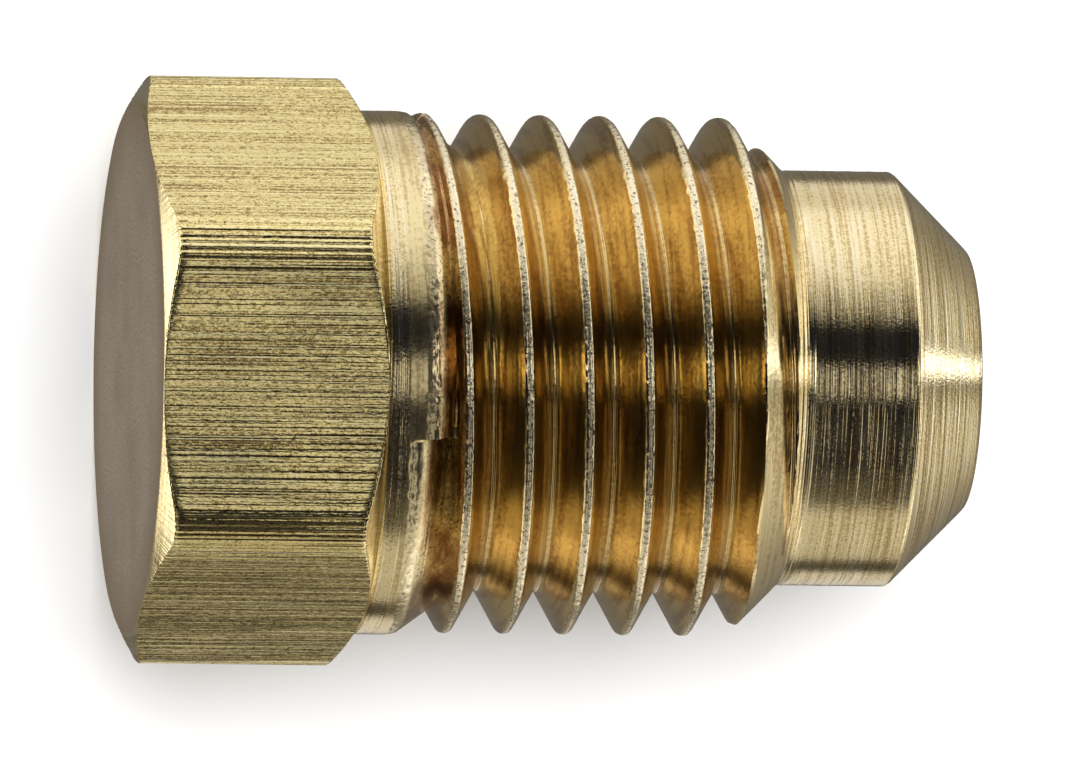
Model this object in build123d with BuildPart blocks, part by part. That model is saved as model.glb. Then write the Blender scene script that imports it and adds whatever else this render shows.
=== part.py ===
from build123d import *

import math
import os

# A solid brass flare plug for quarter inch tube, in millimetres. It lies on one flat of its hex head:
# +X runs along its axis from the head to the flare cone, +Z is up, and the origin is on the surface
# that it lies on, under the middle of its length. It is turned from one bar of hex brass, so the five
# nodes are the zones of one solid piece of metal, which meet face to face and never come apart.

INCH = 25.4

# Driving dimensions
hex_across_flats = 11.05
hex_corner_radius = 1.1
head_length = 4.75
end_face_diameter = 11.0
end_chamfer_angle = 26.0
shoulder_chamfer_angle = 33.0
neck_diameter = 11.02
neck_length = 0.86
thread_pitch = INCH / 20
thread_major_diameter = 10.92
thread_depth = 0.885
thread_flank_angle = 30.0
thread_root_radius = 0.10
thread_zone_length = 8.15
first_groove_offset = 0.19
runout_angle = 33.0
lead_chamfer_angle = 45.0
pilot_diameter = 8.76
pilot_length = 2.35
flare_seat_angle = 45.0
tip_diameter = 5.54
tip_edge_radius = 0.12

# Radii and stations along the axis
axis_height = hex_across_flats / 2
corner_reach = hex_across_flats / math.sqrt(3)
end_face_radius = end_face_diameter / 2
neck_radius = neck_diameter / 2
major_radius = thread_major_diameter / 2
minor_radius = major_radius - thread_depth
pilot_radius = pilot_diameter / 2
tip_radius = tip_diameter / 2
cone_length = (pilot_radius - tip_radius) / math.tan(math.radians(flare_seat_angle))
overall_length = head_length + neck_length + thread_zone_length + pilot_length + cone_length

end_face_x = -overall_length / 2
shoulder_x = end_face_x + head_length
thread_start_x = shoulder_x + neck_length
pilot_start_x = thread_start_x + thread_zone_length
cone_start_x = pilot_start_x + pilot_length
tip_x = cone_start_x + cone_length

plug_axis = Axis((0, 0, axis_height), (1, 0, 0))
# Profiles to revolve: x along the axis, y outwards from it
side_plane = Plane(origin=(0, 0, axis_height), x_dir=(1, 0, 0), z_dir=(0, -1, 0))


def cross_plane(x):
    """The plane across the axis at x, facing +X, with its own x along +Y and its y up."""
    return Plane(origin=(x, 0, axis_height), x_dir=(0, 1, 0), z_dir=(1, 0, 0))


# Hex head: a length of hex bar with drawn, rounded corners, turned at both ends, which leaves an arc
# on each flat. The end chamfer runs out from the flat end face, the shoulder chamfer from the neck.
end_chamfer_rise = (corner_reach - end_face_radius) * math.tan(math.radians(end_chamfer_angle))
shoulder_chamfer_rise = (corner_reach - neck_radius) * math.tan(math.radians(shoulder_chamfer_angle))

with BuildPart() as hex_head:
    with BuildSketch(cross_plane(end_face_x)) as bar_section:
        RegularPolygon(radius=hex_across_flats / 2, side_count=6, major_radius=False)
        fillet(bar_section.vertices(), radius=hex_corner_radius)
    extrude(amount=head_length)
    with BuildSketch(side_plane) as turned_ends:
        with BuildLine():
            Polyline(
                (end_face_x, 0),
                (end_face_x, end_face_radius),
                (end_face_x + end_chamfer_rise, corner_reach),
                (shoulder_x - shoulder_chamfer_rise, corner_reach),
                (shoulder_x, neck_radius),
                (shoulder_x, 0),
                close=True,
            )
        make_face()
    revolve(axis=plug_axis, mode=Mode.INTERSECT)

# Neck: the plain land between the hex head and the thread, as wide as the hex is across its flats
with BuildPart() as neck:
    with BuildSketch(cross_plane(shoulder_x)):
        Circle(neck_radius)
    extrude(amount=neck_length)

# Threaded shank: one right-hand V groove is cut into a blank that is longer than the shank, so that
# the groove ends inside it. The blank is then turned to length with a lead chamfer at the nose end.
# Beside the neck a cone fills the groove's first turn, where the die leaves the thread shallow.
lead_chamfer_run = 1 / math.tan(math.radians(lead_chamfer_angle))
runout_length = (neck_radius - minor_radius) / math.tan(math.radians(runout_angle))

blank_overhang = 3 * thread_pitch
blank_length = thread_zone_length + 2 * blank_overhang

# The groove section opens past the major diameter, and its round root touches the minor diameter
groove_mouth_radius = major_radius + thread_root_radius
groove_apex_radius = minor_radius - thread_root_radius
groove_half_width = (groove_mouth_radius - groove_apex_radius) * math.tan(math.radians(thread_flank_angle))
groove_start_x = thread_start_x + first_groove_offset - thread_pitch
groove_length = thread_zone_length + 2 * thread_pitch

with BuildPart() as threaded_shank:
    with BuildSketch(cross_plane(thread_start_x - blank_overhang)):
        Circle(major_radius)
    extrude(amount=blank_length)
    with BuildLine() as groove_path:
        Helix(
            pitch=thread_pitch,
            height=groove_length,
            radius=minor_radius,
            center=(groove_start_x, 0, axis_height),
            direction=(1, 0, 0),
        )
    with BuildSketch(side_plane) as groove_section:
        with BuildLine():
            Polyline(
                (groove_start_x - groove_half_width, groove_mouth_radius),
                (groove_start_x, groove_apex_radius),
                (groove_start_x + groove_half_width, groove_mouth_radius),
                close=True,
            )
        make_face()
        root = groove_section.vertices().sort_by(Axis.Y)[0]
        fillet(root, radius=thread_root_radius)
    sweep(path=groove_path.line, is_frenet=True, mode=Mode.SUBTRACT)
    with BuildSketch(side_plane) as turned_blank:
        with BuildLine():
            Polyline(
                (thread_start_x, 0),
                (thread_start_x, corner_reach),
                (pilot_start_x - (corner_reach - pilot_radius) * lead_chamfer_run, corner_reach),
                (pilot_start_x, pilot_radius),
                (pilot_start_x, 0),
                close=True,
            )
        make_face()
    revolve(axis=plug_axis, mode=Mode.INTERSECT)
    with BuildSketch(side_plane) as runout_profile:
        with BuildLine():
            Polyline(
                (thread_start_x, 0),
                (thread_start_x, neck_radius),
                (thread_start_x + runout_length, minor_radius),
                (thread_start_x + runout_length, 0),
                close=True,
            )
        make_face()
    revolve(axis=plug_axis)

# Pilot: the plain land between the thread and the flare cone, which clears the thread it screws into
with BuildPart() as pilot:
    with BuildSketch(cross_plane(pilot_start_x)):
        Circle(pilot_radius)
    extrude(amount=pilot_length)

# Flare cone: the 45 degree seat that seals against the tube's flare, down to the flat tip
with BuildPart() as flare_cone:
    with BuildSketch(side_plane) as cone_profile:
        with BuildLine():
            Polyline(
                (cone_start_x, 0),
                (cone_start_x, pilot_radius),
                (tip_x, tip_radius),
                (tip_x, 0),
                close=True,
            )
        make_face()
    revolve(axis=plug_axis)
    tip_edge = flare_cone.edges().filter_by(GeomType.CIRCLE).sort_by(Axis.X)[-1]
    fillet(tip_edge, radius=tip_edge_radius)

hex_head.part.label = "hex_head"
neck.part.label = "neck"
threaded_shank.part.label = "threaded_shank"
pilot.part.label = "pilot"
flare_cone.part.label = "flare_cone"

os.makedirs("parts", exist_ok=True)
export_step(hex_head.part, "parts/hex_head.step")
export_step(neck.part, "parts/neck.step")
export_step(threaded_shank.part, "parts/threaded_shank.step")
export_step(pilot.part, "parts/pilot.step")
export_step(flare_cone.part, "parts/flare_cone.step")
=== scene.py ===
"""A solid brass flare plug lying on one flat of its hex head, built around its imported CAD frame.

Lengths are in millimetres until a mesh is made, and x runs along the plug from the head to the cone.
Angles round the axis start at +Y and turn towards +Z, so the side that faces up is at 90 degrees.
"""

import math

import bpy
import numpy as np
from mathutils import Matrix, Vector


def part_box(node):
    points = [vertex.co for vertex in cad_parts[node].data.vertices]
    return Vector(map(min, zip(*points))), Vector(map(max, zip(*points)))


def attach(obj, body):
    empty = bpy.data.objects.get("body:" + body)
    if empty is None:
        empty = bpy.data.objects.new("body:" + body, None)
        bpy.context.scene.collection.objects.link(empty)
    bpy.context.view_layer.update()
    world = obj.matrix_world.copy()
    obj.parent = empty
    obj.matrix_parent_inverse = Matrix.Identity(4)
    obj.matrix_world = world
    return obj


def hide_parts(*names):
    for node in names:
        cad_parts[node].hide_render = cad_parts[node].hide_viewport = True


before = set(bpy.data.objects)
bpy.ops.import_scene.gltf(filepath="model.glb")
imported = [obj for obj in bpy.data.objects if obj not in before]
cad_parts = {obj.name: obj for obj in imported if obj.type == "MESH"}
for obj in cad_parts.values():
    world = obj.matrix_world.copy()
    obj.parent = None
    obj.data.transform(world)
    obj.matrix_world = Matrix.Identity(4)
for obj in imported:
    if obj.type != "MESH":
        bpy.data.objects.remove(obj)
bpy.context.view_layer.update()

MM = 0.001
MICRON = 1e-6
TAU = 2 * math.pi
SECTOR = math.radians(60)  # of the hexagon, from corner to corner
HALF_SECTOR = math.radians(30)


# ---------------------------------------------------------------- sizes from the frame

def span_mm(node):
    """First and last x of a CAD node."""
    low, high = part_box(node)
    return low.x / MM, high.x / MM


head_x, shoulder_x = span_mm("hex_head")
thread_x, thread_end_x = span_mm("threaded_shank")
pilot_end_x, tip_x = span_mm("flare_cone")

head_low, head_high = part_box("hex_head")
neck_low, neck_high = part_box("neck")
pilot_low, pilot_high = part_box("pilot")
axis_z = (neck_low.z + neck_high.z) / 2 / MM
hex_apothem = (head_high.z - head_low.z) / 2 / MM
hex_corner_reach = (head_high.y - head_low.y) / 2 / MM
neck_radius = (neck_high.z - neck_low.z) / 2 / MM
pilot_radius = (pilot_high.z - pilot_low.z) / 2 / MM
tip_radius = pilot_radius - (tip_x - pilot_end_x)
# A corner radius c takes c * (1 / cos 30 - 1) off the reach of a sharp corner
hex_corner_radius = (hex_apothem / math.cos(HALF_SECTOR) - hex_corner_reach) / (
    1 / math.cos(HALF_SECTOR) - 1
)

# The thread's profile
PITCH = 1.27
MAJOR_RADIUS = 5.46
THREAD_DEPTH = 0.885
ROOT_RADIUS = 0.10
CREST_HALF_WIDTH = 0.07
FLANK_ANGLE = math.radians(30)
FLANK_SLOPE = math.tan(FLANK_ANGLE)
FIRST_CREST = 0.5075  # from the start of the thread zone to the crest on the +Y side

# The hex head
END_FACE_RADIUS = 5.5
FLAT_CROWN = 0.03  # the edges of a drawn flat lie this far below its middle
END_CHAMFER = math.tan(math.radians(26))
SHOULDER_CHAMFER = math.tan(math.radians(33))


# ---------------------------------------------------------------- noise and mesh helpers

def value_noise(seed, u, v, cells_round=64):
    """Smooth noise from 0 to 1. u is in turns and repeats after each one, v is in cells."""
    table = np.random.default_rng(seed).random((cells_round, 512))
    u = np.asarray(u) % 1.0 * cells_round
    v = np.asarray(v) % 512
    i, j = np.floor(u).astype(int), np.floor(v).astype(int)
    a, b = u - i, v - j
    a, b = a * a * (3 - 2 * a), b * b * (3 - 2 * b)
    i, j = i % cells_round, j % 512
    i2, j2 = (i + 1) % cells_round, (j + 1) % 512
    near = table[i, j] * (1 - a) + table[i2, j] * a
    far = table[i, j2] * (1 - a) + table[i2, j2] * a
    return near * (1 - b) + far * b


BEND_STEPS = 4
NEARLY_HALF = 0.45


def bend(before, corner, after, setback):
    """A corner rounded by a quadratic curve that starts and ends setback away, or nearly half way."""
    length_a = np.linalg.norm(before - corner, axis=0)
    length_b = np.linalg.norm(after - corner, axis=0)
    a = corner + (before - corner) * np.minimum(setback / length_a, NEARLY_HALF)
    b = corner + (after - corner) * np.minimum(setback / length_b, NEARLY_HALF)
    fractions = np.linspace(0, 1, BEND_STEPS)
    return [(1 - s) ** 2 * a + 2 * s * (1 - s) * corner + s * s * b for s in fractions]


def points(x, r, angle):
    """Row frame coordinates in metres of places given by x, radius and angle."""
    x, r, angle = np.broadcast_arrays(x, r, angle)
    y, z = r * np.cos(angle), axis_z + r * np.sin(angle)
    return np.stack([x, y, z], -1).reshape(-1, 3) * MM


def smooth(value, low, high):
    """0 below low, 1 above high and an even curve between them."""
    s = np.clip((value - low) / (high - low), 0, 1)
    return s * s * (3 - 2 * s)


SHARP_DEG = 35  # faces that meet at more than this are shaded with an edge between them


def mesh_piece(name, verts, faces, materials, material_index=None):
    """A closed mesh piece that rides on the plug's one body."""
    mesh = bpy.data.meshes.new(name)
    mesh.from_pydata(verts.tolist(), [], faces)
    mesh.validate()
    for material in materials:
        mesh.materials.append(material)
    if material_index is not None:
        mesh.polygons.foreach_set("material_index", np.asarray(material_index, np.int32))
    mesh.shade_smooth()
    mesh.set_sharp_from_angle(angle=math.radians(SHARP_DEG))
    piece = bpy.data.objects.new(name, mesh)
    bpy.context.scene.collection.objects.link(piece)
    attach(piece, "root")
    return piece


def ring_faces(stations, around):
    """Quads between rings of vertices numbered station by station, facing outwards."""
    faces = []
    for i in range(stations - 1):
        for j in range(around):
            k = (j + 1) % around
            a, b = i * around, (i + 1) * around
            faces.append((a + j, a + k, b + k, b + j))
    return faces


def turned_piece(name, x, r, angle, materials, index_of_station=None):
    """A piece from rings. x and r have one row for each ring, and each end closes on the axis."""
    stations, around = len(x), len(angle)
    verts = points(x, r, angle[None, :])
    first, last = len(verts), len(verts) + 1
    verts = np.vstack([verts, points(np.mean(x[0]), 0, 0), points(np.mean(x[-1]), 0, 0)])
    faces = ring_faces(stations, around)
    start = (stations - 1) * around
    for j in range(around):
        k = (j + 1) % around
        faces.append((first, k, j))
        faces.append((last, start + j, start + k))
    index = None
    if index_of_station is not None:
        index = np.repeat(index_of_station[:-1], around)
        ends = np.tile([index_of_station[0], index_of_station[-1]], around)
        index = np.concatenate([index, ends])
    return mesh_piece(name, verts, faces, materials, index)


# ---------------------------------------------------------------- materials

BRASS = (0.90, 0.74, 0.37)
BRASS_DULL = (0.60, 0.44, 0.20)
# BRASS_PALE colours the worn crests and, as painted sheen, the palest tool lines
BRASS_PALE = (0.94, 0.82, 0.53)
FLAT_BRASS = (0.90, 0.73, 0.29)
# The flats' dull and pale colours are painted shade and painted sheen along the draw lines
FLAT_PAINTED_SHADE = (0.36, 0.25, 0.09)
FLAT_PAINTED_SHEEN = (0.98, 0.87, 0.44)
# The flanks' colours, darker and deeper than the brass outside the groove, are painted shade in the grooves
THREAD_BRASS = (0.76, 0.56, 0.23)
THREAD_DARK = (0.44, 0.27, 0.11)
COPPER_STAIN = (0.42, 0.24, 0.09)
GRIME = (0.22, 0.15, 0.08)
END_PALE = (0.60, 0.51, 0.39)
END_BROWN = (0.45, 0.38, 0.29)
END_GRAIN = (0.28, 0.22, 0.14)
END_RIM = (0.32, 0.23, 0.14)


def new_material(name, roughness, metallic=1.0):
    """A new material and what its nodes are added to: the material, its tree and its shader."""
    material = bpy.data.materials.new(name)
    material.use_nodes = True
    tree = material.node_tree
    shader = tree.nodes["Principled BSDF"]
    shader.inputs["Roughness"].default_value = roughness
    shader.inputs["Metallic"].default_value = metallic
    return material, tree, shader


def noise(tree, cells_per_mm, detail, roughness=0.6, turned_deg=0.0):
    """A noise value whose cells per millimetre along x, y and z are given, measured from the axis.

    turned_deg slants its cells away from x.
    """
    coordinates = tree.nodes.new("ShaderNodeTexCoord")
    scaled = tree.nodes.new("ShaderNodeMapping")
    if turned_deg:
        scaled.vector_type = "TEXTURE"
        scaled.inputs["Location"].default_value = (0, 0, axis_z * MM)
        scaled.inputs["Rotation"].default_value = (0, 0, math.radians(turned_deg))
        scaled.inputs["Scale"].default_value = [MM / cells for cells in cells_per_mm]
    else:
        scaled.inputs["Location"].default_value = (0, 0, -axis_z * cells_per_mm[2])
        scaled.inputs["Scale"].default_value = [cells / MM for cells in cells_per_mm]
    texture = tree.nodes.new("ShaderNodeTexNoise")
    texture.inputs["Scale"].default_value = 1.0
    texture.inputs["Detail"].default_value = detail
    texture.inputs["Roughness"].default_value = roughness
    tree.links.new(coordinates.outputs["Object"], scaled.inputs["Vector"])
    tree.links.new(scaled.outputs["Vector"], texture.inputs["Vector"])
    return texture.outputs["Fac"]


def from_axis(tree, cells_per_mm):
    """The distance from the axis, in cells."""
    coordinates = tree.nodes.new("ShaderNodeTexCoord")
    scaled = tree.nodes.new("ShaderNodeMapping")
    scaled.inputs["Location"].default_value = (0, 0, -axis_z * cells_per_mm)
    scaled.inputs["Scale"].default_value = (0, cells_per_mm / MM, cells_per_mm / MM)
    length = tree.nodes.new("ShaderNodeVectorMath")
    length.operation = "LENGTH"
    tree.links.new(coordinates.outputs["Object"], scaled.inputs["Vector"])
    tree.links.new(scaled.outputs["Vector"], length.inputs[0])
    return length.outputs["Value"]


def ring_noise(tree, cells_per_mm, detail):
    """A noise value that changes only with the distance from the axis, as on a faced end."""
    texture = tree.nodes.new("ShaderNodeTexNoise")
    texture.noise_dimensions = "1D"
    texture.inputs["Scale"].default_value = 1.0
    texture.inputs["Detail"].default_value = detail
    tree.links.new(from_axis(tree, cells_per_mm), texture.inputs["W"])
    return texture.outputs["Fac"]


def attribute(tree, name):
    """The value of a mesh attribute."""
    node = tree.nodes.new("ShaderNodeAttribute")
    node.attribute_name = name
    return node.outputs["Fac"]


def remap(tree, value, low, high, to_low, to_high):
    """value taken from the range low to high on to the range to_low to to_high."""
    node = tree.nodes.new("ShaderNodeMapRange")
    node.inputs["From Min"].default_value = low
    node.inputs["From Max"].default_value = high
    node.inputs["To Min"].default_value = to_low
    node.inputs["To Max"].default_value = to_high
    tree.links.new(value, node.inputs["Value"])
    return node.outputs["Result"]


def window(tree, value, opens, full, fades, shut):
    """1 while value is between full and fades, 0 below opens and above shut, and sloped between."""
    rising = remap(tree, value, opens, full, 0, 1)
    return math_node(tree, "MULTIPLY", rising, remap(tree, value, fades, shut, 1, 0))


def math_node(tree, operation, first, second):
    """One arithmetic step. second is a number or another node's output."""
    node = tree.nodes.new("ShaderNodeMath")
    node.operation = operation
    tree.links.new(first, node.inputs[0])
    if isinstance(second, (int, float)):
        node.inputs[1].default_value = second
    else:
        tree.links.new(second, node.inputs[1])
    return node.outputs["Value"]


def blend_colors(tree, factor, first, second):
    """A colour between first and second, each a colour or another node's output."""
    node = tree.nodes.new("ShaderNodeMix")
    node.data_type = "RGBA"
    tree.links.new(factor, node.inputs["Factor"])
    for socket, value in ((node.inputs[6], first), (node.inputs[7], second)):
        if isinstance(value, tuple):
            socket.default_value = (*value, 1)
        else:
            tree.links.new(value, socket)
    return node.outputs[2]


def bump(tree, height, depth_um, under=None, strength=None):
    """A bump normal whose full height is depth_um thousandths of a millimetre."""
    node = tree.nodes.new("ShaderNodeBump")
    node.inputs["Strength"].default_value = 1.0
    node.inputs["Distance"].default_value = depth_um * MICRON
    tree.links.new(height, node.inputs["Height"])
    if under is not None:
        tree.links.new(under, node.inputs["Normal"])
    if strength is not None:
        tree.links.new(strength, node.inputs["Strength"])
    return node.outputs["Normal"]


def turned_brass(name, line_um=9.0, rough=(0.10, 0.17)):
    """Lathe-turned brass: fine tool lines run round the axis, some coloured darker and the palest in
    painted sheen.
    """
    material, tree, shader = new_material(name, 0.2)
    lines = noise(tree, (16, 0.25, 0.25), detail=1, roughness=0.7)
    bands = noise(tree, (4, 0.2, 0.2), detail=1)
    flecks = noise(tree, (16, 16, 16), detail=1)
    tree.links.new(remap(tree, bands, 0.3, 0.7, *rough), shader.inputs["Roughness"])
    scores = math_node(tree, "ADD", lines, math_node(tree, "MULTIPLY", flecks, 0.6))
    # Tool lines with the highest scores are coloured darker
    tint = blend_colors(tree, remap(tree, scores, 0.81, 0.97, 0.0, 1.0), BRASS, BRASS_DULL)
    # Painted sheen: the palest tool lines are coloured a paler brass
    tint = blend_colors(tree, remap(tree, scores, 0.79, 0.64, 0.0, 0.9), tint, BRASS_PALE)
    tree.links.new(tint, shader.inputs["Base Color"])
    normal = bump(tree, bands, line_um)
    normal = bump(tree, lines, line_um, normal)
    tree.links.new(bump(tree, flecks, 2.5, normal), shader.inputs["Normal"])
    return material


def drawn_brass(name):
    """Cold-drawn bar: straight draw lines along x, dashes and specks between them, and a few nicks. Their
    dark and pale colours are painted shade and painted sheen.
    """
    material, tree, shader = new_material(name, 0.25)
    lines = noise(tree, (0.03, 17, 17), detail=1, roughness=0.7)
    dashes = noise(tree, (7, 21, 21), detail=1, roughness=0.7)
    specks = noise(tree, (19, 19, 19), detail=1, roughness=0.7)
    blotch = noise(tree, (0.4, 0.8, 0.8), detail=4)
    nicks = noise(tree, (1.4, 9, 9), detail=1, turned_deg=55)
    tree.links.new(remap(tree, blotch, 0.3, 0.7, 0.12, 0.19), shader.inputs["Roughness"])
    # The lines come and go along the bar and across it
    streaks = math_node(tree, "SUBTRACT", lines, 0.5)
    streaks = math_node(tree, "MULTIPLY", streaks, remap(tree, blotch, 0.38, 0.62, 0.35, 1.25))
    scores = math_node(tree, "ADD", streaks, math_node(tree, "MULTIPLY", dashes, 0.6))
    scores = math_node(tree, "ADD", scores, math_node(tree, "MULTIPLY", specks, 0.7))
    # Painted shade: the darkest lines, dashes and specks are coloured a dull brass
    tint = blend_colors(tree, remap(tree, scores, 0.65, 0.83, 0.0, 1.0), FLAT_BRASS, FLAT_PAINTED_SHADE)
    # Painted sheen: the palest of them are coloured a pale brass
    tint = blend_colors(tree, remap(tree, scores, 0.63, 0.46, 0.0, 1.0), tint, FLAT_PAINTED_SHEEN)
    tint = blend_colors(tree, remap(tree, nicks, 0.73, 0.77, 0.0, 0.8), tint, GRIME)
    tree.links.new(tint, shader.inputs["Base Color"])
    normal = bump(tree, lines, 8.0)
    tree.links.new(bump(tree, dashes, 3.5, normal), shader.inputs["Normal"])
    return material


def faced_brass(name):
    """The faced end: dull and grey-brown from handling, darker at its rim, with faint rings."""
    material, tree, shader = new_material(name, 0.5)
    rings = ring_noise(tree, 6, detail=2)
    grain = noise(tree, (14, 14, 14), detail=2)
    mottle = noise(tree, (0.5, 0.5, 0.5), detail=5)
    tint = blend_colors(tree, remap(tree, mottle, 0.35, 0.7, 0, 1), END_PALE, END_BROWN)
    tint = blend_colors(tree, remap(tree, grain, 0.42, 0.62, 0, 0.65), tint, END_GRAIN)
    rim = remap(tree, from_axis(tree, 1.0), END_FACE_RADIUS - 1.3, END_FACE_RADIUS, 0, 0.75)
    tree.links.new(blend_colors(tree, rim, tint, END_RIM), shader.inputs["Base Color"])
    normal = bump(tree, rings, 6.0)
    tree.links.new(bump(tree, grain, 5.0, normal), shader.inputs["Normal"])
    return material


def threaded_brass(name):
    """The thread: dark golden flanks whose darker colour inside the groove is painted shade, pale pitted
    crests and copper-coloured stains at its ends.
    """
    material, tree, shader = new_material(name, 0.2)
    worn, stained, outer = (attribute(tree, label) for label in ("worn", "stained", "outer"))
    lines = noise(tree, (10, 0.3, 0.3), detail=1, roughness=0.7)
    flecks = noise(tree, (10, 10, 10), detail=1)
    pits = noise(tree, (13, 13, 13), detail=1, roughness=0.7)
    blotch = noise(tree, (1.6, 0.9, 0.9), detail=5)
    scores = math_node(tree, "ADD", lines, math_node(tree, "MULTIPLY", flecks, 0.6))
    flank = blend_colors(tree, remap(tree, scores, 0.76, 1.02, 0.0, 0.9), THREAD_BRASS, THREAD_DARK)
    land = blend_colors(tree, remap(tree, scores, 0.80, 1.0, 0.0, 0.85), BRASS, BRASS_DULL)
    # Painted shade: inside the groove the flanks take the darker thread brass, outside it the lighter brass
    clean = blend_colors(tree, outer, flank, land)
    spots = math_node(tree, "MULTIPLY", remap(tree, blotch, 0.42, 0.58, 0.1, 1.0), stained)
    clean = blend_colors(tree, spots, clean, COPPER_STAIN)
    specks = math_node(tree, "MULTIPLY", remap(tree, pits, 0.56, 0.66, 0.0, 0.85), stained)
    clean = blend_colors(tree, specks, clean, GRIME)
    pale = blend_colors(tree, remap(tree, pits, 0.57, 0.67, 0.0, 0.9), BRASS_PALE, GRIME)
    tree.links.new(blend_colors(tree, worn, clean, pale), shader.inputs["Base Color"])
    gloss = remap(tree, outer, 0, 1, 0.15, 0.19)
    gloss = math_node(tree, "ADD", gloss, math_node(tree, "MULTIPLY", worn, 0.08))
    tree.links.new(gloss, shader.inputs["Roughness"])
    normal = bump(tree, lines, 4.5)
    normal = bump(tree, flecks, 2.0, normal)
    tree.links.new(bump(tree, pits, 9.0, normal, worn), shader.inputs["Normal"])
    return material


flat_brass = drawn_brass("drawn_brass")
lathe_brass = turned_brass("turned_brass")
chamfer_brass = turned_brass("chamfer_brass", line_um=3.0, rough=(0.16, 0.24))
thread_brass = threaded_brass("threaded_brass")
end_brass = faced_brass("faced_brass")


# ---------------------------------------------------------------- hex head

def hex_radius(angle):
    """Radius of the rounded hexagon at each angle, with a corner at angle 0 and crowned flats."""
    from_corner = (angle + HALF_SECTOR) % SECTOR - HALF_SECTOR
    from_corner = np.abs(from_corner)
    flat = hex_apothem / np.cos(HALF_SECTOR - from_corner)
    centre = (hex_apothem - hex_corner_radius) / math.cos(HALF_SECTOR)
    inside = np.maximum(hex_corner_radius**2 - (centre * np.sin(from_corner)) ** 2, 0)
    arc = centre * np.cos(from_corner) + np.sqrt(inside)
    half_flat = (hex_apothem - hex_corner_radius) * math.tan(HALF_SECTOR)
    arc_reach = HALF_SECTOR - math.atan(half_flat / hex_apothem)
    along_flat = hex_apothem * np.tan(HALF_SECTOR - from_corner)
    crown = FLAT_CROWN * np.minimum(along_flat / half_flat, 1) ** 2
    return np.where(from_corner < arc_reach, arc, flat) - crown


DRAW_LINE = 0.007  # depth of the finest lines that the die drew
DIE_MARK = 0.024  # depth of its deepest marks
DIE_MARK_DEG = 0.30  # their width
DIE_MARKS_DEG = (-3.2, -1.5, 0.1, 1.25, 2.7, 4.2, 6.1)  # from each corner, towards greater angles

HEX_IN_SECTOR = 300
HEX_ALONG = 24
AT_CORNER = 0.6  # spacing of the angles at a corner, as a part of even spacing
JAG = 0.03  # how ragged the chamfers' edges are
LEAST_CHAMFER = 0.004
FACE_BREAK, END_BREAK, SHOULDER_BREAK = 0.05, 0.03, 0.045
FLAT_SLOT, END_SLOT, CHAMFER_SLOT = 0, 1, 2


def bar_angles():
    """Angles round the bar, closer together at the corners than on the flats."""
    t = (np.arange(HEX_IN_SECTOR) + 0.5) / HEX_IN_SECTOR * 2 - 1
    sector = HALF_SECTOR * (AT_CORNER * t + (1 - AT_CORNER) * t**3)
    return np.concatenate([SECTOR * corner + sector for corner in range(6)])


def scored(row, turns, from_corner_deg):
    """A ring of the bar with its draw lines, and the deeper marks that the die left at its corners."""
    x, r = row
    cut = DRAW_LINE * value_noise(13, turns, x * 0.4, 720)
    uneven = 0.4 + 0.6 * value_noise(14, turns, x * 0.6, 40)
    for place in DIE_MARKS_DEG:
        cut += DIE_MARK * uneven * np.exp(-(((from_corner_deg - place) / DIE_MARK_DEG) ** 2))
    return np.stack([x, r - cut])


def hex_head():
    """The hex bar, scored by its die, with a turned chamfer at each end that has torn edges."""
    angle = bar_angles()
    turns = angle / TAU
    bar = hex_radius(angle)
    from_corner_deg = np.degrees((angle + HALF_SECTOR) % SECTOR) - 30
    jag_end = (value_noise(11, turns, 0, 900) - 0.5) * JAG
    jag_shoulder = (value_noise(12, turns, 0, 900) - 0.5) * JAG
    start, finish = np.full_like(bar, head_x), np.full_like(bar, shoulder_x)
    face, neck = np.full_like(bar, END_FACE_RADIUS), np.full_like(bar, neck_radius)
    arc_end = head_x + (bar - END_FACE_RADIUS) * END_CHAMFER
    arc_end = np.maximum(arc_end, head_x + LEAST_CHAMFER)
    arc_shoulder = shoulder_x - (bar - neck_radius) * SHOULDER_CHAMFER
    arc_shoulder = np.minimum(arc_shoulder, shoulder_x - LEAST_CHAMFER)
    face_rim = np.stack([start, face])
    neck_rim = np.stack([finish, neck])
    end_edge = np.stack([np.maximum(arc_end + jag_end, head_x), bar])
    shoulder_edge = np.stack([np.minimum(arc_shoulder + jag_shoulder, shoulder_x), bar])
    # A ring on each chamfer, close to its edge with the bar
    chamfer = 0.15 * face_rim + 0.85 * np.stack([arc_end, bar])
    shoulder = 0.15 * neck_rim + 0.85 * np.stack([arc_shoulder, bar])
    rows = [np.stack([start, face * 0.5])]
    rows += bend(rows[0], face_rim, chamfer, FACE_BREAK)
    rows.append(chamfer)
    first_edge = bend(chamfer, end_edge, shoulder_edge, END_BREAK)
    last_edge = bend(end_edge, shoulder_edge, shoulder, SHOULDER_BREAK)
    faced, chamfered = 3, len(rows) + 1
    rows += first_edge
    sides = np.linspace(0, 1, HEX_ALONG)[1:-1]
    rows += [first_edge[-1] + (last_edge[0] - first_edge[-1]) * s for s in sides]
    rows += last_edge
    bar_rows = range(chamfered, len(rows) - 1)
    for n in bar_rows:
        rows[n] = scored(rows[n], turns, from_corner_deg)
    rows += [shoulder, neck_rim, np.stack([finish, face * 0.5])]
    index = np.full(len(rows), CHAMFER_SLOT)
    index[:faced] = END_SLOT
    index[chamfered : bar_rows.stop] = FLAT_SLOT
    x = np.stack([row[0] for row in rows])
    r = np.stack([row[1] for row in rows])
    return turned_piece("hex_head_brass", x, r, angle, [flat_brass, end_brass, chamfer_brass], index)


head = hex_head()
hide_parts("hex_head")


# ---------------------------------------------------------------- neck, pilot and cone

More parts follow.
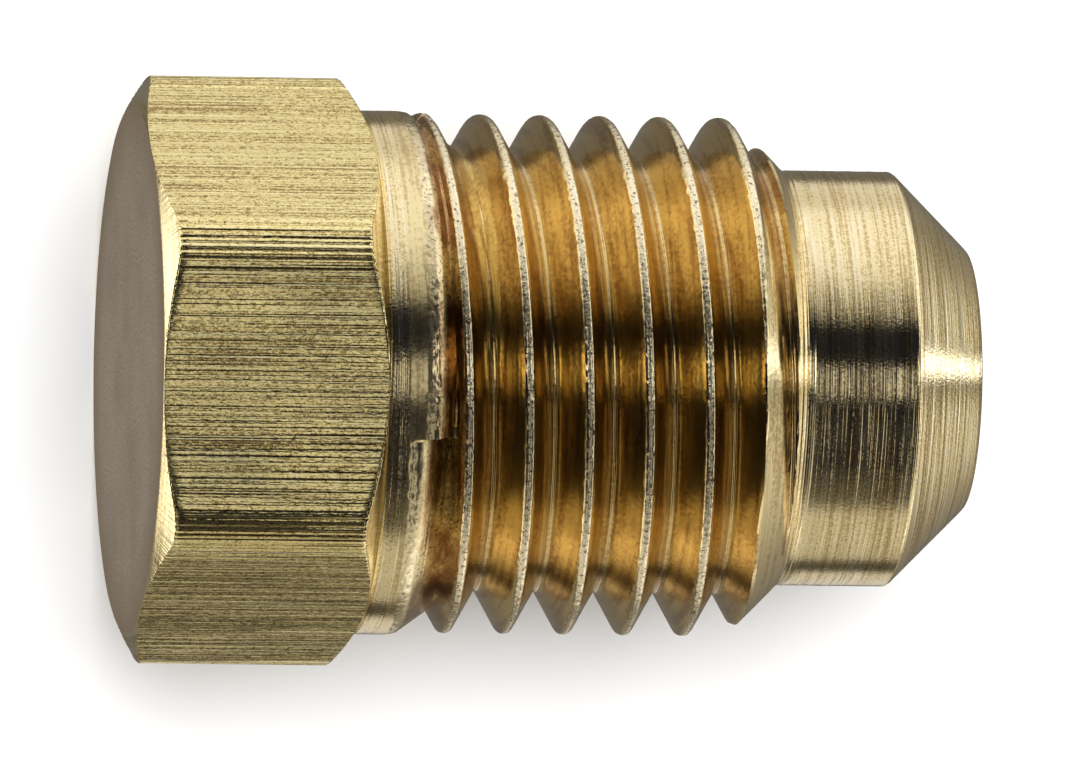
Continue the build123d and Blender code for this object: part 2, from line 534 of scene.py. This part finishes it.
LATHE_AROUND = 600
RELIEF_DEPTH, RELIEF_WIDTH = 0.014, 0.025
LAND_LEFT = 0.42  # of the neck that belongs to the thread's mesh, as the first groove bites into it


def straight(x0, x1, r0, r1, steps):
    """Rings from one corner of a profile to the next, without the last."""
    s = np.linspace(0, 1, steps, endpoint=False)
    return list(zip(x0 + (x1 - x0) * s, r0 + (r1 - r0) * s))


def lathe(name, rings, materials, seed, depth, marks=()):
    """A turned piece from (x, r) rings. Tool lines go round it, and marks are deeper grooves' x."""
    x, r = np.array(rings).T
    angle = np.linspace(0, TAU, LATHE_AROUND, endpoint=False)
    turns = angle / TAU
    fine = value_noise(seed, turns[None, :], x[:, None] * 15, 8)
    broad = value_noise(seed + 1, turns[None, :], x[:, None] * 5, 8)
    cut = depth * (fine + broad) * (r[:, None] > 0.6 * pilot_radius)
    for place in marks:
        cut += RELIEF_DEPTH * np.exp(-(((x[:, None] - place) / RELIEF_WIDTH) ** 2))
    x = np.repeat(x[:, None], LATHE_AROUND, 1)
    return turned_piece(name, x, r[:, None] - cut, angle, materials)


UNDERCUT, UNDERCUT_WIDTH = 0.03, 0.02  # a shadow line between the shoulder and the neck

neck_rings = [(shoulder_x, neck_radius * 0.5), (shoulder_x, neck_radius - UNDERCUT)]
neck_rings += [(shoulder_x + UNDERCUT_WIDTH, neck_radius - UNDERCUT)]
neck_rings += straight(shoulder_x + 0.05, thread_x - LAND_LEFT, neck_radius, neck_radius, 26)
neck_rings += [(thread_x - LAND_LEFT, neck_radius), (thread_x - LAND_LEFT, neck_radius * 0.5)]
neck = lathe("neck_brass", neck_rings, [lathe_brass], 21, 0.002)
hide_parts("neck")

EDGE, EDGE_DROP = 0.05, 0.025  # the broken edge between the pilot and the cone
LEAD_FOOT = 0.18  # of the thread's lead cone that belongs to the pilot's mesh, below the last groove
foot_x = thread_end_x - LEAD_FOOT
pilot_rings = [(foot_x, pilot_radius * 0.5), (foot_x, pilot_radius + LEAD_FOOT)]
pilot_rings += straight(foot_x + 0.01, thread_end_x, pilot_radius + LEAD_FOOT - 0.01, pilot_radius, 14)
pilot_rings += straight(thread_end_x + 0.01, pilot_end_x - EDGE, pilot_radius, pilot_radius, 120)
pilot_rings += [(pilot_end_x - EDGE, pilot_radius), (pilot_end_x - EDGE / 2, pilot_radius - 0.006)]
pilot_rings += [(pilot_end_x, pilot_radius - EDGE_DROP), (pilot_end_x, pilot_radius * 0.5)]
relief = [thread_end_x + place for place in (-0.11, 0.0, 0.10)]
pilot = lathe("pilot_brass", pilot_rings, [lathe_brass], 23, 0.0025, relief)
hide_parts("pilot")

TIP_EDGE = 0.1  # how far from the tip the cone starts to round over

cone_rings = [(pilot_end_x, pilot_radius * 0.5), (pilot_end_x, pilot_radius - EDGE_DROP)]
cone_rings += straight(
    pilot_end_x + 0.03, tip_x - TIP_EDGE, pilot_radius - 0.04, tip_radius + TIP_EDGE, 80
)
cone_rings += [(tip_x - TIP_EDGE, tip_radius + TIP_EDGE), (tip_x - 0.04, tip_radius + 0.035)]
cone_rings += [(tip_x - 0.01, tip_radius), (tip_x, tip_radius - 0.05), (tip_x, tip_radius * 0.5)]
cone = lathe("flare_cone_brass", cone_rings, [lathe_brass], 25, 0.002)
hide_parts("flare_cone")


# ---------------------------------------------------------------- thread

STEP_ANGLE = math.radians(101.4)  # where the die's first tooth left a ledge
STEP_BITE = 0.36  # how far the first groove cuts into the neck there
TORN_LAND = 0.16
RUNOUT_SLOPE = math.tan(math.radians(36))
CREST_CROWN = 0.02
CREST_WANDER = 0.02  # how far the crests' points stray along x
PIT_DEPTH, PIT_BURR = 0.018, 0.003
TORN_DEPTH = 0.02
BURR_HEIGHT, BURR_X, BURR_LENGTH = 0.07, 0.45, 0.16
BURR_ANGLE, BURR_SPREAD = math.radians(5), math.radians(7)
THREAD_AROUND = 540


def thread_depth(from_crest):
    """Depth below the crest at a distance along x from its middle: crown, flank and round root."""
    from_root = PITCH / 2 - from_crest
    flank = (from_crest - CREST_HALF_WIDTH) / FLANK_SLOPE
    inside = np.maximum(ROOT_RADIUS**2 - from_root**2, 0)
    root = THREAD_DEPTH - ROOT_RADIUS + np.sqrt(inside)
    tangent = ROOT_RADIUS * math.cos(FLANK_ANGLE)
    crown = CREST_CROWN * np.minimum(from_crest / CREST_HALF_WIDTH, 1) ** 2
    return np.maximum(np.where(from_root < tangent, root, flank), crown)


def groove_edge(angle):
    """x where the neck ends. It steps back at the ledge and comes forward with the helix."""
    turn = (angle - STEP_ANGLE) % TAU / TAU
    return np.minimum(thread_x, thread_x - STEP_BITE + PITCH * turn)


def threaded_shank(around):
    """The thread as a grid that follows its helix, turned down at both ends.

    Gives each grid point's x and radius, each column's angle, and each point's finish: how worn it
    is, how stained, and whether it lies outside the groove, where the flanks' painted shade stops.
    """
    start_x, end_x = thread_x - LAND_LEFT, foot_x
    root_reach = ROOT_RADIUS * math.cos(FLANK_ANGLE)
    flank = list(np.linspace(CREST_HALF_WIDTH + 0.03, PITCH / 2 - root_reach, 8))
    root = list(np.linspace(PITCH / 2 - root_reach, PITCH / 2, 4))[1:]
    half = [CREST_HALF_WIDTH / 2, CREST_HALF_WIDTH] + flank + root
    across = np.array([-h for h in half[::-1]] + [0.0] + half[:-1])
    first_turn = math.floor((start_x - thread_x - FIRST_CREST) / PITCH) - 1
    turns = math.ceil((end_x - start_x) / PITCH) + 3
    columns = np.arange(turns * around + 1)
    angle = columns / around * TAU
    crest = thread_x + FIRST_CREST + PITCH * (first_turn + columns / around)
    random = np.random.default_rng(31)
    on_crest = np.abs(across)[None, :] < CREST_HALF_WIDTH + 0.01
    wander = (random.random((len(columns), len(across))) - 0.5) * CREST_WANDER * on_crest
    x = np.clip(crest[:, None] + across[None, :] + wander, start_x, end_x)
    from_crest = np.abs((x - crest[:, None] + PITCH / 2) % PITCH - PITCH / 2)
    pits = (random.random(x.shape) ** 3 * PIT_DEPTH - PIT_BURR) * on_crest
    thread = MAJOR_RADIUS - thread_depth(from_crest) - pits
    into = x - groove_edge(angle)[:, None]
    torn = (into > -0.02) & (into < TORN_LAND + 0.03)
    runout = neck_radius - np.clip(into, 0, TORN_LAND) * 0.15
    runout = runout - np.maximum(into - TORN_LAND, 0) * RUNOUT_SLOPE
    runout = runout - TORN_DEPTH * random.random(x.shape) ** 2 * torn
    lead = pilot_radius + (thread_end_x - x)
    r = np.minimum(np.maximum(thread, runout), lead)
    # A burr stands where the first full crest starts, on the +Y side
    burr_turn = (angle[:, None] - BURR_ANGLE + math.pi) % TAU - math.pi
    burr = np.exp(-((x - thread_x - BURR_X) / BURR_LENGTH) ** 2 - (burr_turn / BURR_SPREAD) ** 2)
    r = r + BURR_HEIGHT * burr * (random.random(x.shape) - 0.35)
    crest_wear = 1 - smooth(from_crest, CREST_HALF_WIDTH - 0.02, CREST_HALF_WIDTH + 0.02)
    worn = np.where(thread >= runout, crest_wear, 0.5 * torn)
    on_lead = lead < np.maximum(thread, runout)
    worn = np.where(on_lead, 0, worn)
    outer = np.maximum(np.maximum(on_lead, runout > thread), worn)
    # Stains lie on the first turn and, weaker, on the last
    first = smooth(x, thread_x - 0.05, thread_x + 0.1) * (1 - smooth(x, thread_x + 0.8, thread_x + 1.2))
    last = smooth(x, end_x - 1.1, end_x - 0.8) * 0.5
    stained = np.clip(first + last, 0, 1) * (1 - np.where(on_lead, 1, 0.7 * worn))
    return x, r, angle, {"worn": worn, "stained": stained, "outer": outer}


def weld_helix(name, materials):
    """The thread's mesh: its grid with each turn joined to the next and the clamped ends merged."""
    around = THREAD_AROUND
    # finish also holds outer, which decides where the flanks are painted darker as shade
    x, r, angle, finish = threaded_shank(around)
    columns, wide = x.shape
    column = np.repeat(np.arange(columns) % around, wide)
    # Points of one column whose x agrees to a hundred thousandth of a millimetre are one point
    key = np.stack([column, np.round(x.ravel() * 1e5).astype(np.int64)], 1)
    _, kept, same = np.unique(key, axis=0, return_index=True, return_inverse=True)
    verts = points(x.ravel()[kept], r.ravel()[kept], angle.repeat(wide)[kept])
    number = same.ravel().reshape(columns, wide)
    grid = []
    for m in range(wide):
        near, far = number[:-1, m], number[1:, m]
        if m + 1 < wide:
            next_near, next_far = number[:-1, m + 1], number[1:, m + 1]
        else:
            next_near, next_far = number[around:-1, 0], number[around + 1 :, 0]
            near, far = near[: len(next_near)], far[: len(next_near)]
        grid.append(np.stack([near, far, next_far, next_near], 1))
    faces = {}
    for face in np.vstack(grid).tolist():
        distinct = [v for n, v in enumerate(face) if v != face[n - 1]]
        if len(distinct) > 2:
            faces[frozenset(distinct)] = tuple(distinct)
    faces = list(faces.values())
    centres = []
    for end_x, outwards in ((x.min(), False), (x.max(), True)):
        rim = {}
        for v in np.nonzero(np.abs(verts[:, 0] / MM - end_x) < 1e-6)[0]:
            turn = math.atan2(verts[v, 2] / MM - axis_z, verts[v, 1] / MM) % TAU
            rim[round(turn / TAU * around) % around] = int(v)
        centre = len(verts) + len(centres)
        centres.append(end_x)
        for j in range(around):
            pair = (rim[j], rim[(j + 1) % around])
            faces.append((centre, *pair) if outwards else (centre, *pair[::-1]))
    verts = np.vstack([verts, points(np.array(centres), 0, 0)])
    piece = mesh_piece(name, verts, faces, materials)
    for label, values in finish.items():
        layer = piece.data.attributes.new(label, "FLOAT", "POINT")
        layer.data.foreach_set("value", np.append(values.ravel()[kept], [0, 0]).astype(np.float32))
    return piece


thread = weld_helix("threaded_shank_brass", [thread_brass])
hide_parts("threaded_shank")


# ---------------------------------------------------------------- floor, light and camera

def pale_floor():
    """A plain matte white floor, kept out of reflections so that the studio alone shapes the brass."""
    mesh = bpy.data.meshes.new("floor")
    half = 2.0
    corners = [(-half, -half, 0), (half, -half, 0), (half, half, 0), (-half, half, 0)]
    mesh.from_pydata(corners, [], [(0, 1, 2, 3)])
    floor = bpy.data.objects.new("floor", mesh)
    bpy.context.scene.collection.objects.link(floor)
    material, _, shader = new_material("floor", 0.9, 0.0)
    shader.inputs["Base Color"].default_value = (0.9, 0.9, 0.9, 1)
    mesh.materials.append(material)
    floor.visible_glossy = False


def soft_light(name, direction, spread_deg, strength):
    """A soft light from a direction, for the floor and its shadow. The brass doesn't mirror it."""
    data = bpy.data.lights.new(name, "SUN")
    data.angle = math.radians(spread_deg)
    data.energy = strength
    light = bpy.data.objects.new(name, data)
    light.rotation_mode = "QUATERNION"
    light.rotation_quaternion = Vector(direction).to_track_quat("Z", "Y")
    bpy.context.scene.collection.objects.link(light)
    light.visible_glossy = False
    light.visible_camera = False


# Levels of the studio round the x axis, by degrees from straight up towards +Y. The first list is
# what the parts that run straight along x mirror, the next is what lies beside it along x, where
# the thread's flanks look, and the last is the +X end.
AROUND = [
    (-180, 0.17), (-168, 0.17), (-161, 0.66), (-137, 0.72), (-131, 0.07), (-121, 0.08), (-116, 0.43),
    (-100, 0.48), (-79, 0.50), (-70, 0.22), (-58, 0.15), (-45, 0.03), (-38, 0.04), (-23, 0.04), (-17, 0.01),
    (-9, 0.01), (-5.5, 0.84), (8, 0.84), (11, 0.01), (32, 0.01), (39, 0.70), (52, 1.00), (103, 1.02),
    (111, 1.00), (117, 0.76), (141, 0.78), (147, 0.16), (180, 0.17),
]
BESIDE = [
    (-180, 0.18), (-165, 0.18), (-158, 0.26), (-137, 0.28), (-131, 0.08), (-121, 0.10), (-116, 0.60),
    (-100, 0.72), (-80, 0.66), (-68, 0.05), (-45, 0.01), (38, 0.01), (50, 0.20), (62, 0.82), (75, 1.12),
    (103, 1.12), (116, 0.75), (141, 0.78), (147, 0.18), (180, 0.18),
]
ENDWAYS = [
    (-180, 0.18), (-166, 0.18), (-145, 0.33), (-125, 0.75), (-112, 1.25), (-95, 1.80), (-60, 0.70),
    (0, 0.58), (60, 0.78), (88, 1.90), (104, 1.45), (123, 1.00), (135, 0.63), (150, 0.30), (180, 0.18),
]
# What ridges and tool lines mirror from two panels across the plug
PANELS = [(-180, 0.60), (-60, 0.60), (-14, 0.50), (-9, 0.02), (34, 0.02), (46, 0.70), (180, 0.70)]


def level_ramp(tree, fraction, levels):
    """A colour ramp over a full turn from a list of degrees and levels, warm where it is dim.

    The darkest gaps turn cool, so that brass looks black in them and not brown.
    """
    ramp = tree.nodes.new("ShaderNodeValToRGB")
    tree.links.new(fraction, ramp.inputs["Fac"])
    stops = ramp.color_ramp.elements
    stops.remove(stops[-1])
    for n, (degrees, level) in enumerate(levels):
        stop = stops[0] if n == 0 else stops.new((degrees + 180) / 360)
        stop.position = (degrees + 180) / 360
        gap = max(0, 1 - level / 0.1)
        white = min(level, 1) ** 2
        green = level * (0.93 + 0.08 * white) + 0.002 * gap
        blue = level * (0.82 + 0.30 * white) + 0.012 * gap
        stop.color = (level, green, blue, 1)
    return ramp.outputs["Color"]


MIRRORED_X = 0.15  # x of the directions that the parts straight along x mirror to the camera


def studio():
    """A soft studio round the plug, as a world that also looks plain white behind it."""
    world = bpy.data.worlds.new("studio")
    world.use_nodes = True
    tree = world.node_tree
    coordinates = tree.nodes.new("ShaderNodeTexCoord")
    split = tree.nodes.new("ShaderNodeSeparateXYZ")
    tree.links.new(coordinates.outputs["Generated"], split.inputs["Vector"])
    turn = math_node(tree, "ARCTAN2", split.outputs["Y"], split.outputs["Z"])
    turn = remap(tree, turn, -math.pi, math.pi, 0, 1)
    along, height = split.outputs["X"], split.outputs["Z"]
    low = remap(tree, height, -0.05, -0.20, 0, 1)
    aside = math_node(tree, "ABSOLUTE", math_node(tree, "SUBTRACT", along, MIRRORED_X), 0)
    beside = remap(tree, aside, 0.03, 0.08, 0, 1)
    level = blend_colors(tree, beside, level_ramp(tree, turn, AROUND), level_ramp(tree, turn, BESIDE))
    end = math_node(tree, "MULTIPLY", remap(tree, along, 0.30, 0.50, 0, 1), low)
    end = math_node(tree, "MAXIMUM", end, remap(tree, along, 0.90, 0.97, 0, 1))
    level = blend_colors(tree, end, level, level_ramp(tree, turn, ENDWAYS))
    # Pale table beyond the head
    table = math_node(tree, "MULTIPLY", remap(tree, along, -0.62, -0.74, 0, 1), low)
    level = blend_colors(tree, table, level, (1.6, 1.6, 1.6))
    # The two panels
    above = remap(tree, height, 0.0, 0.1, 0, 1)
    panel = math_node(tree, "MULTIPLY", window(tree, aside, 0.16, 0.20, 0.34, 0.38), above)
    level = blend_colors(tree, panel, level, level_ramp(tree, turn, PANELS))
    # A brighter pair beyond them, straight above, which only the sharpest ridges mirror
    across = math_node(tree, "DIVIDE", split.outputs["Y"], height)
    glint = math_node(tree, "MULTIPLY", window(tree, aside, 0.34, 0.40, 0.56, 0.62), above)
    glint = math_node(tree, "MULTIPLY", glint, window(tree, across, -0.06, 0.0, 0.26, 0.34))
    level = blend_colors(tree, glint, level, (1.9, 1.9, 1.85))
    # A bright upright strip beyond the cone, a little towards +Y
    slope = math_node(tree, "DIVIDE", split.outputs["Y"], along)
    strip = window(tree, slope, -0.01, 0.02, 0.09, 0.12)
    strip = math_node(tree, "MULTIPLY", strip, remap(tree, along, 0.90, 0.95, 0, 1))
    level = blend_colors(tree, strip, level, (2.0, 2.1, 2.5))
    rays = tree.nodes.new("ShaderNodeLightPath")
    seen = blend_colors(tree, rays.outputs["Is Camera Ray"], level, (1.0, 1.0, 1.0))
    tree.links.new(seen, tree.nodes["Background"].inputs["Color"])
    world.cycles_visibility.diffuse = False
    bpy.context.scene.world = world


YAW, TILT, ROLL = math.radians(8.73), math.radians(3.3), math.radians(0.74)
SENSOR_MM = 36
DISTANCE = 0.5  # in metres, as are the camera's other lengths
VIEW_WIDTH = 0.0227
AIM_X = -0.00011
AIM_RIGHT, AIM_UP = -0.00002, -0.00027


def camera():
    """A long lens from above and a little behind the head, rolled so that the nose dips."""
    back = Vector((-math.sin(YAW), math.cos(YAW) * math.sin(TILT), math.cos(YAW) * math.cos(TILT)))
    up = Vector((0, math.cos(TILT), -math.sin(TILT)))
    right = up.cross(back)
    roll = Matrix.Rotation(ROLL, 3, back)
    right, up = roll @ right, roll @ up
    aim = Vector((AIM_X, 0, axis_z * MM)) + right * AIM_RIGHT + up * AIM_UP
    data = bpy.data.cameras.new("camera")
    data.sensor_width = SENSOR_MM
    data.lens = SENSOR_MM * DISTANCE / VIEW_WIDTH
    data.clip_start, data.clip_end = 0.01, 5
    seen = bpy.data.objects.new("camera", data)
    bpy.context.scene.collection.objects.link(seen)
    axes = Matrix((right, up, back)).transposed().to_4x4()
    seen.matrix_world = Matrix.Translation(aim + back * DISTANCE) @ axes
    bpy.context.scene.camera = seen


pale_floor()
soft_light("key", (0.02, 0.24, 1.0), 40, 2.9)
soft_light("fill", (0, 0.05, 1.0), 140, 2.1)
studio()
camera()
bpy.context.scene.view_settings.view_transform = "Standard"
